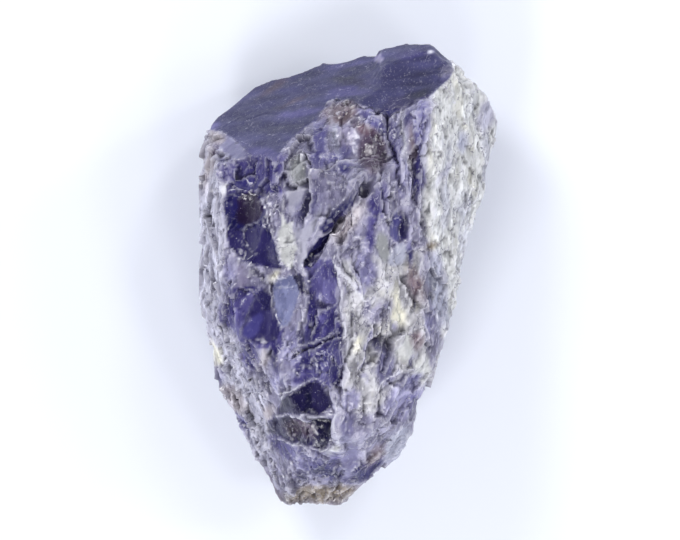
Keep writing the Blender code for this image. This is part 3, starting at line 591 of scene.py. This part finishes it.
class Skin:
    """The stone's skin: its tint, how glassy it is and how far it moves out, at each point."""

    def __init__(self, points, normals):
        self.points, self.normals = points, normals
        size, reach = SWAY
        sway = np.stack([rough(points, size, seed) for seed in (221, 231, 241)], axis=-1)
        self.grain = along_grain(points) + reach * sway
        size, reach = WANDER
        wander = [rough(points, (size, size, size), seed) * reach for seed in (201, 211)]
        self.x, self.y = points[:, 0] + wander[0], points[:, 1] + wander[1]
        self.front = step(*FRONT_RISE, points[:, 2])
        count = len(points)
        self.tint = np.tile(np.array(TINTS["veil"], float), (count, 1))
        self.glass = np.full(count, PLAIN_GLASS)
        self.move = np.zeros(count)
        self.masks = {}
        # How far each point is outside the rims of painted highlight and the cracks of painted
        # shade
        self.pale_line = np.full(count, NO_LINE)
        self.dark_line = np.full(count, NO_LINE)

    def paint(self, share, tint, glass=None):
        """Blend a tint in, and how glassy the skin is, by a share for each point."""
        self.tint += (np.array(TINTS[tint], float) - self.tint) * share[:, None]
        if glass is not None:
            self.glass += (glass - self.glass) * share

    def paint_back(self):
        """The skin that the photograph doesn't show: the same stone, in broad patches."""
        back = 1 - self.front
        broad = rough(self.points, *BACK_PATCHES)
        self.paint(back * step(0.15, 0.5, broad), "violet", 0.6)
        self.paint(back * step(0.55, 0.8, broad), "deep", 0.9)
        self.paint(back * step(0.1, 0.5, -broad) * step(-1, 3, self.points[:, 0]), "silver", 0.1)
        self.paint(back * step(0.5, 0.9, rough(self.points, *BACK_STAINS)) * 0.6, "brown")
        self.paint(back * step(-12.8, -14.5, self.points[:, 1]) * 0.7, "ochre")

    def paint_areas(self):
        """The large areas. The end's border doesn't wander, and only what leans to +Y is in it."""
        for name, (tint, glass, *corners) in AREAS.items():
            if name == "end":
                depth = inside(*self.points[:, :2].T, corners)
                share = step(-END_BORDER, END_BORDER, depth)
                share *= step(0.0, 0.15, self.normals[:, 1])
                self.front = np.maximum(self.front, share)
            else:
                border = SOFT_BORDER if name in SOFT_AREAS else CRISP_BORDER
                depth = inside(self.x, self.y, corners)
                share = step(-border, border, depth) * self.front
            self.paint(share, tint, glass)
            self.masks[name] = share

    def paint_patches(self):
        """The small patches: the duller they are, the softer their borders."""
        for tint, x, y, half_length, half_width, heading, glass in PATCHES.values():
            depth = oval(self.x, self.y, (x, y, half_length, half_width, heading))
            soft = 0.3 - 0.2 * glass
            self.paint(step(-soft, soft, depth) * self.front, tint, glass)

    def paint_mottles(self):
        """Warm, grey and violet mottles of the pale sides."""
        for area, size, seed, grained, start, high, low in MOTTLES:
            noise = rough(self.grain if grained else self.points, size, seed)
            for tint, level in ((high, noise), (low, -noise)):
                share = self.masks[area] * step(start, MOTTLE_FULL, level)
                self.paint(share * MOTTLE_SHARE, tint)

    def draw_lines(self):
        """Cracks and rims. The material draws them from how far each point is outside them: the
        cracks with painted shade, the rims with painted highlight.
        """
        for strength, half_width, rise, *places in LINES.values():
            away = to_lines(self.x, self.y, places) + (1 - self.front)
            self.move += step(1.6, 0.2, away / half_width) * rise
            outside = away - 0.8 * half_width * strength
            # Rising rims carry painted highlight, sinking cracks painted shade
            if rise > 0:
                self.pale_line = np.minimum(self.pale_line, outside)
            else:
                self.dark_line = np.minimum(self.dark_line, outside)

    def shatter(self):
        """Break the skin into pieces, and vary the tint with them."""
        calm = 1 - 0.95 * self.glass
        right, end = self.masks["right_face"], self.masks["end"]
        strip = np.maximum(self.masks["left_strip"], self.masks["lower_band"])
        main = (1 - strip) * (1 - 0.6 * right) * (1 - end)
        self.break_up("large_shards", self.grain, main * calm, main * (0.4 + 0.6 * calm))
        self.break_up("small_shards", self.grain, main * calm, main * calm)
        self.break_up("grains", self.points, calm * (1 - end), calm * (1 - end))
        self.break_up("scales", self.points, right * calm, right)
        self.break_up("fibres", self.grain, strip, strip)
        size, rise = END_WAVES
        self.move += rise * rough(self.points, size, 22) * end
        size, amount = END_MOTTLES
        self.shade(rough(self.points, size, 25) * amount * end)

    def break_up(self, kind, points, moved, tinted):
        """Pieces of one kind, with how strongly each point takes their moves and their tints."""
        *piece, amount, pick = BREAKS[kind]
        move, numbers = broken(points, *piece)
        self.move += move * moved
        self.shade((numbers[:, pick] - 0.5) * amount * tinted)

    def shade(self, amount):
        """Make the tint lighter or darker, from 0 to 255, by an amount for each point."""
        self.tint += amount[:, None]


def linear(screen):
    """Colours as they look on a screen, from 0 to 1, as amounts of light."""
    return np.where(screen <= 0.04045, screen / 12.92, ((screen + 0.055) / 1.055) ** 2.4)


def painted(mesh, skin):
    """Give the mesh its tint and its masks, as attributes that the material reads."""
    tint = np.clip(skin.tint, 8, 248) / 255
    values = np.concatenate([linear(tint), np.ones((len(tint), 1))], axis=1)
    attribute = mesh.attributes.new("tint", "FLOAT_COLOR", "POINT")
    attribute.data.foreach_set("color", values.astype(np.float32).ravel())
    pairs = neighbours(mesh)
    points, normals = read(mesh), read(mesh, "normal")
    fine = np.sum((points - spread(points, pairs, FINE_ROUNDS)) * normals, axis=1)
    broad = np.sum((points - spread(points, pairs, BROAD_ROUNDS)) * normals, axis=1)
    masks = {
        "glass": skin.glass,
        "clear": skin.glass * (1 - tint.mean(axis=1)),
        "end": skin.masks["end"],
        "edge": step(*FINE_HEIGHTS, fine) * 0.7 + step(*BROAD_HEIGHTS, broad) * 0.4,
        # Painted shade: where the surface sinks below its neighbours' average
        "hollow_shade": step(*FINE_HEIGHTS, -fine) * 0.6 + step(*BROAD_HEIGHTS, -broad) * 0.6,
    }
    masks = {name: np.clip(values, 0, 1) for name, values in masks.items()}
    masks.update(pale_line=skin.pale_line, dark_line=skin.dark_line)
    for name, values in masks.items():
        attribute = mesh.attributes.new(name, "FLOAT", "POINT")
        attribute.data.foreach_set("value", values.astype(np.float32))


def fine_stone(node):
    """The crystal with its fine skin, in place of the plain solid."""
    mesh = even_mesh(node)
    points, normals = read(mesh), read(mesh, "normal")
    skin = Skin(points, normals)
    skin.paint_back()
    skin.paint_areas()
    skin.paint_mottles()
    skin.paint_patches()
    skin.shatter()
    skin.draw_lines()
    # The skin stays inside the box of the even mesh, and above the floor
    low, high = points.min(axis=0), points.max(axis=0)
    low[2] = 0
    moved = np.clip(points + normals * skin.move[:, None], low, high)
    mesh.vertices.foreach_set("co", moved.astype(np.float32).ravel())
    mesh.update()
    painted(mesh, skin)
    mesh.vertices.foreach_set("co", (moved * MM).astype(np.float32).ravel())
    mesh.update()
    mesh.shade_smooth()
    mesh.set_sharp_from_angle(angle=np.radians(SHARP_ANGLE))
    stone = bpy.data.objects.new("rough_crystal", mesh)
    bpy.context.scene.collection.objects.link(stone)
    return stone


# Materials

# The stone's index of refraction, the gloss level of its dusty skin, and its bumps: how deep
# they are in metres, and how strong
IOR, SPECULAR = 1.54, 0.35
BUMP_DEPTH, BUMP_STRENGTH = 0.0008, 0.35

# Noises: scale, detail and roughness. The stone's are counted in millimetres, and the floor's
# in metres
NOISES = {
    "fine": (7.0, 3.0, 0.65),
    "streak": (2.2, 4.0, 0.65),
    "bend": (1.8, 3.0, 0.5),
    "speck": (11.0, 2.0, 0.6),
    "floor": (3.0, 3.0, 0.6),
}

# How many cells there are to the millimetre: between hair cracks, of the painted sparkle specks,
# and of small facets
CELLS = {"hair": 0.8, "sparkle_speck": 5.5, "facet": 3.5}

# How far the hair cracks bend, in millimetres
BEND = 0.9

# How a value turns into a share: the slope and the start
RAMPS = {
    "pale_fleck": (6.0, -3.5),
    "dark_fleck": (-6.0, 2.5),
    "hair": (-60.0, 1.2),
    "glint": (9.0, -4.4),
    # Painted sparkle specks: their size and how sharp they are
    "sparkle_speck_size": (1.3, -1.1),
    "sparkle_speck": (12.0, 0.0),
    "line": (-30.0, 0.0),
    "fleck_by_dull": (0.45, 0.05),
    "edge_by_end": (-0.2, 0.35),
    # Fewer painted sparkle specks on the flat end
    "sparkle_speck_by_end": (-0.68, 0.7),
    "rough_by_noise": (0.16, 0.05),
    "clear": (0.3, 0.08),
}

# How the streaks move the borders of the lines, in millimetres: the slope and the start
RAGGED = (0.24, -0.11)

# How strong the painted shade in the hollows, the hair cracks and the lines are
STRENGTHS = {"hollow_shade": 0.6, "hair": 0.8, "dark_line": 0.8, "pale_line": 0.6}

# How much rougher the flat end is than the sides, how much smoother glass is, how much less
# clear the end is, and how high the specks stand beside the facets
END_ROUGHER, GLASS_SMOOTHER, END_DULLER, SPECK_HEIGHT = 0.25, -0.04, -0.2, 0.04


def colour(red, green, blue):
    """A colour given as it looks on a screen, from 0 to 255, for use in a shader."""
    return (*linear(np.array([red, green, blue]) / 255), 1.0)


class Nodes:
    """Short ways to add and join the nodes of one material."""

    def __init__(self, name):
        self.material = bpy.data.materials.new(name)
        self.material.use_nodes = True
        self.tree = self.material.node_tree
        self.shader = self.tree.nodes["Principled BSDF"]

    def add(self, kind, inputs=(), **settings):
        """A new node, with values or links for its inputs."""
        node = self.tree.nodes.new(kind)
        for key, value in settings.items():
            setattr(node, key, value)
        for key, value in dict(inputs).items():
            self.put(node.inputs[key], value)
        return node

    def put(self, socket, value):
        if isinstance(value, bpy.types.NodeSocket):
            self.tree.links.new(value, socket)
        else:
            socket.default_value = value

    def sums(self, operation, *values, clamp=False):
        node = self.add("ShaderNodeMath", operation=operation, use_clamp=clamp)
        for socket, value in zip(node.inputs, values):
            self.put(socket, value)
        return node.outputs[0]

    def ramp(self, value, name):
        """A value times the slope of a ramp, plus its start, kept between 0 and 1."""
        return self.sums("MULTIPLY_ADD", value, *RAMPS[name], clamp=True)

    def times(self, first, second):
        return self.sums("MULTIPLY", first, second)

    def vector(self, operation, *values):
        node = self.add("ShaderNodeVectorMath", enumerate(values), operation=operation)
        return node.outputs["Value" if operation == "DOT_PRODUCT" else "Vector"]

    def mix(self, share, below, above):
        node = self.add("ShaderNodeMix", data_type="RGBA")
        for socket, value in ((0, share), (6, below), (7, above)):
            self.put(node.inputs[socket], value)
        return node.outputs[2]

    def stain(self, share, base, name):
        """The base colour with one of the added colours over it."""
        return self.mix(share, base, colour(*ADDED[name]))

    def mask(self, name):
        return self.add("ShaderNodeAttribute", attribute_name=name).outputs["Fac"]

    def scaled(self, place, scale):
        return self.add("ShaderNodeMapping", {"Vector": place, "Scale": scale}).outputs[0]

    def noise(self, place, name, output="Fac"):
        scale, detail, roughness = NOISES[name]
        inputs = {"Vector": place, "Scale": scale, "Detail": detail, "Roughness": roughness}
        return self.add("ShaderNodeTexNoise", inputs).outputs[output]

    def cells(self, place, name, feature="F1"):
        inputs = {"Vector": place, "Scale": CELLS[name]}
        return self.add("ShaderNodeTexVoronoi", inputs, feature=feature).outputs


def flecked(nodes, fine, dull):
    """The tint, with pale and dark flecks where it is dull, pale edges, and painted shade in the
    hollows.
    """
    base = nodes.add("ShaderNodeAttribute", attribute_name="tint").outputs["Color"]
    most = nodes.ramp(dull, "fleck_by_dull")
    for name in ("pale_fleck", "dark_fleck"):
        base = nodes.stain(nodes.times(nodes.ramp(fine, name), most), base, name)
    on_edges = nodes.ramp(nodes.mask("end"), "edge_by_end")
    base = nodes.stain(nodes.times(nodes.mask("edge"), on_edges), base, "edge")
    # Painted shade darkens the hollows
    return nodes.stain(nodes.times(nodes.mask("hollow_shade"), STRENGTHS["hollow_shade"]), base, "hollow_shade")


def hair_cracked(nodes, base, grain, even, streak, dull):
    """The base colour with a net of hair cracks, some dark and some with a pale glint."""
    bend = nodes.noise(even, "bend", "Color")
    bent = nodes.vector("MULTIPLY_ADD", bend, (BEND, BEND, BEND), grain)
    net = nodes.cells(bent, "hair", "DISTANCE_TO_EDGE")
    hair = nodes.times(nodes.ramp(net["Distance"], "hair"), nodes.times(dull, STRENGTHS["hair"]))
    tone = nodes.stain(nodes.ramp(streak, "glint"), colour(*ADDED["dark_hair"]), "pale_hair")
    return nodes.mix(hair, base, tone)


def sparkle_specked(nodes, base, even):
    """The base colour with painted sparkle highlights: white specks under a tenth of a millimetre.
    """
    dots = nodes.cells(even, "sparkle_speck")
    chosen = nodes.add("ShaderNodeSeparateXYZ", {0: dots["Color"]}).outputs[0]
    size = nodes.ramp(chosen, "sparkle_speck_size")
    dot = nodes.ramp(nodes.sums("SUBTRACT", size, dots["Distance"]), "sparkle_speck")
    amount = nodes.ramp(nodes.mask("end"), "sparkle_speck_by_end")
    return nodes.stain(nodes.times(dot, amount), base, "sparkle_speck")


def lined(nodes, base, streak):
    """The base colour with painted shade along the drawn cracks and painted highlight along
    the rims, made ragged by the streaks.
    """
    ragged = nodes.sums("MULTIPLY_ADD", streak, *RAGGED)
    for name in ("dark_line", "pale_line"):
        line = nodes.ramp(nodes.sums("ADD", nodes.mask(name), ragged), "line")
        base = nodes.stain(nodes.times(line, STRENGTHS[name]), base, name)
    return base


def stone_gloss(nodes, fine):
    """How rough and how clear the stone is."""
    glass, end = nodes.mask("glass"), nodes.mask("end")
    roughness = nodes.ramp(fine, "rough_by_noise")
    roughness = nodes.sums("MULTIPLY_ADD", end, END_ROUGHER, roughness)
    roughness = nodes.sums("MULTIPLY_ADD", glass, GLASS_SMOOTHER, roughness, clamp=True)
    nodes.put(nodes.shader.inputs["Roughness"], roughness)
    nodes.put(nodes.shader.inputs["IOR"], IOR)
    nodes.put(nodes.shader.inputs["Specular IOR Level"], SPECULAR)
    clear = nodes.ramp(nodes.mask("clear"), "clear")
    clear = nodes.sums("MULTIPLY_ADD", end, END_DULLER, clear, clamp=True)
    nodes.put(nodes.shader.inputs["Transmission Weight"], clear)


def stone_bumps(nodes, grain, even, dull):
    """Flat cells that lean each its own way where the stone is dull, and a fine roughness."""
    cells = nodes.cells(grain, "facet")
    lean = nodes.vector("SUBTRACT", cells["Color"], (0.5, 0.5, 0.5))
    away = nodes.vector("SUBTRACT", grain, cells["Position"])
    facets = nodes.times(nodes.vector("DOT_PRODUCT", lean, away), dull)
    height = nodes.sums("MULTIPLY_ADD", nodes.noise(even, "speck"), SPECK_HEIGHT, facets)
    relief = {"Height": height, "Distance": BUMP_DEPTH, "Strength": BUMP_STRENGTH}
    nodes.put(nodes.shader.inputs["Normal"], nodes.add("ShaderNodeBump", relief).outputs[0])


# Places on the stone, in millimetres: even, or pressed together along the grain so that what
# is drawn there comes out long
EVEN_SCALE = (1 / MM, 1 / MM, 1 / MM)
GRAIN_SCALE = (1 / MM, 0.5 / MM, 1 / MM)


def stone_material():
    """Violet stone, glassy in some places, flecked and cracked in others, with painted sparkle."""
    nodes = Nodes("iolite")
    place = nodes.add("ShaderNodeTexCoord").outputs["Object"]
    grain, even = nodes.scaled(place, GRAIN_SCALE), nodes.scaled(place, EVEN_SCALE)
    fine, streak = nodes.noise(grain, "fine"), nodes.noise(grain, "streak")
    dull = nodes.sums("SUBTRACT", 1.0, nodes.mask("glass"), clamp=True)
    base = flecked(nodes, fine, dull)
    base = hair_cracked(nodes, base, grain, even, streak, dull)
    # White specks of painted sparkle
    base = sparkle_specked(nodes, base, even)
    base = lined(nodes, base, streak)
    nodes.put(nodes.shader.inputs["Base Color"], base)
    stone_gloss(nodes, fine)
    stone_bumps(nodes, grain, even, dull)
    return nodes.material


# The floor's two close tints
FLOOR_TINTS = ((232, 236, 247), (235, 239, 248))


def floor_material():
    """A dull, pale and almost even surface."""
    nodes = Nodes("pale_floor")
    place = nodes.add("ShaderNodeTexCoord").outputs["Object"]
    tone = nodes.mix(nodes.noise(place, "floor"), *(colour(*tint) for tint in FLOOR_TINTS))
    nodes.put(nodes.shader.inputs["Base Color"], tone)
    nodes.put(nodes.shader.inputs["Roughness"], 0.9)
    nodes.put(nodes.shader.inputs["Specular IOR Level"], 0.1)
    return nodes.material


# The studio

# Half the floor's width, in metres
FLOOR_HALF = 1.5


def floor():
    """The pale surface that the stone lies on."""
    mesh = bpy.data.meshes.new("floor")
    half = FLOOR_HALF
    corners = [(-half, -half, 0), (half, -half, 0), (half, half, 0), (-half, half, 0)]
    mesh.from_pydata(corners, [], [(0, 1, 2, 3)])
    plane = bpy.data.objects.new("floor", mesh)
    bpy.context.scene.collection.objects.link(plane)
    mesh.materials.append(floor_material())


# The sky: bright around the horizon, and dim above, where the camera is
SKY_COLOUR = (246, 248, 255)
SKY = {"From Min": 0.12, "From Max": 0.7, "To Min": 1.5, "To Max": 0.2}

# Lamps: heading, rise, width in metres and brightness of the face, all at one distance
LAMP_DISTANCE = 0.16
LAMPS = {
    "left": (128, 40, 0.04, 21.0),
    "left_front": (244, 42, 0.04, 18.0),
    "right": (12, 38, 0.04, 10.0),
    "right_front": (330, 52, 0.03, 12.0),
    "back": (52, 50, 0.03, 13.0),
    "front": (288, 44, 0.03, 12.0),
}


def lamp(name, heading, rise, size, brightness):
    """A square soft light that looks at the stone."""
    data = bpy.data.lights.new(name, "AREA")
    data.size = size
    data.energy = brightness * np.pi * size * size
    light = bpy.data.objects.new(name, data)
    way = Vector(facing(heading, rise))
    light.location = Vector((0, 0, VIEW_LEVEL * MM)) + way * LAMP_DISTANCE
    light.rotation_mode = "QUATERNION"
    light.rotation_quaternion = way.to_track_quat("Z", "Y")
    bpy.context.scene.collection.objects.link(light)


def studio():
    """The sky and the lamps."""
    world = bpy.data.worlds.new("studio")
    world.use_nodes = True
    nodes, links = world.node_tree.nodes, world.node_tree.links
    way = nodes.new("ShaderNodeTexCoord").outputs["Generated"]
    height = nodes.new("ShaderNodeSeparateXYZ")
    links.new(way, height.inputs[0])
    sky = nodes.new("ShaderNodeMapRange")
    links.new(height.outputs["Z"], sky.inputs["Value"])
    for name, value in SKY.items():
        sky.inputs[name].default_value = value
    links.new(sky.outputs["Result"], nodes["Background"].inputs["Strength"])
    nodes["Background"].inputs["Color"].default_value = colour(*SKY_COLOUR)
    bpy.context.scene.world = world
    for name, row in LAMPS.items():
        lamp(name, *row)
    bpy.context.scene.view_settings.view_transform = "Standard"


def camera():
    """A long lens that looks straight down."""
    data = bpy.data.cameras.new("camera")
    data.lens, data.sensor_width = LENS, SENSOR
    data.clip_start, data.clip_end = 0.01, 20
    eye = bpy.data.objects.new("camera", data)
    distance = VIEW_SPAN * LENS / SENSOR
    x, y = VIEW_CENTRE
    eye.location = (x * MM, y * MM, (VIEW_LEVEL + distance) * MM)
    bpy.context.scene.collection.objects.link(eye)
    bpy.context.scene.camera = eye


def main():
    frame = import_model()
    stone = fine_stone(frame["nodes"]["crystal"])
    stone.data.materials.clear()
    stone.data.materials.append(stone_material())
    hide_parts("crystal")
    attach(stone, "root")
    floor()
    studio()
    camera()
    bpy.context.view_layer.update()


main()
